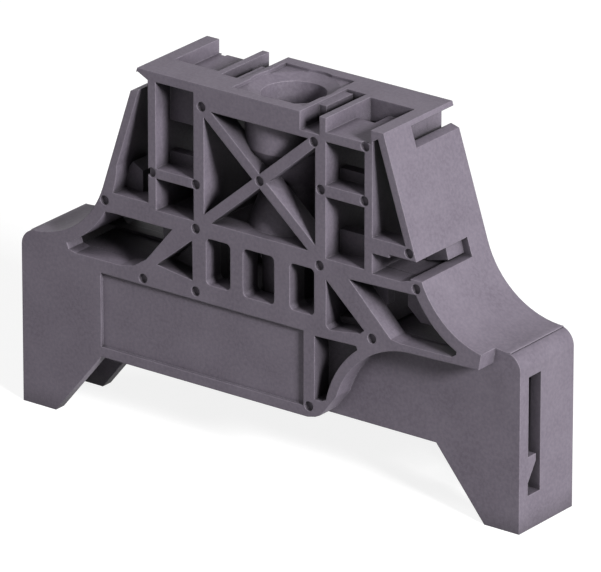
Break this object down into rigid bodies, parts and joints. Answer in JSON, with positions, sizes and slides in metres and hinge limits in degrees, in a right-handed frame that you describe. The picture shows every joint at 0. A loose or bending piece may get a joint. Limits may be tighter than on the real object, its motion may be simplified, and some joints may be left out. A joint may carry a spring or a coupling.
{
  "type": "din rail end stop",
  "caption": "Screw-on end stop for a 35 mm DIN rail: lattice-ribbed moulded body with a driver hole on top, a hooked steel clamp inside and a label panel.",
  "frame": {"origin": "middle of the body at the level of the two feet's soles", "axes": "+X across the rail, +Y along the rail, +Z away from the rail towards the driver hole"},
  "size_m": [0.053, 0.01, 0.0347],
  "materials": {
    "polyamide": "matt dark grey moulded polyamide",
    "screw_steel": "zinc-plated steel",
    "clamp_steel": "zinc-plated sheet steel"
  },
  "bodies": {
    "body": {"body": "polyamide"},
    "screw": {"screw": "screw_steel"},
    "clamp": {"clamp": "clamp_steel"}
  },
  "joints": [
    {"name": "screw_turn", "type": "hinge", "parent": "body", "child": "screw", "pos_m": [0, 0, 0.02], "axis": [0, 0, 1], "range_deg": [0, 2161]},
    {"name": "clamp_lift", "type": "slide", "parent": "body", "child": "clamp", "axis": [0, 0, 1], "range_m": [-0.003, 0]}
  ],
  "couplings": [
    {"joint": "screw_turn", "follows": "clamp_lift", "rad_per_m": -12566}
  ]
}
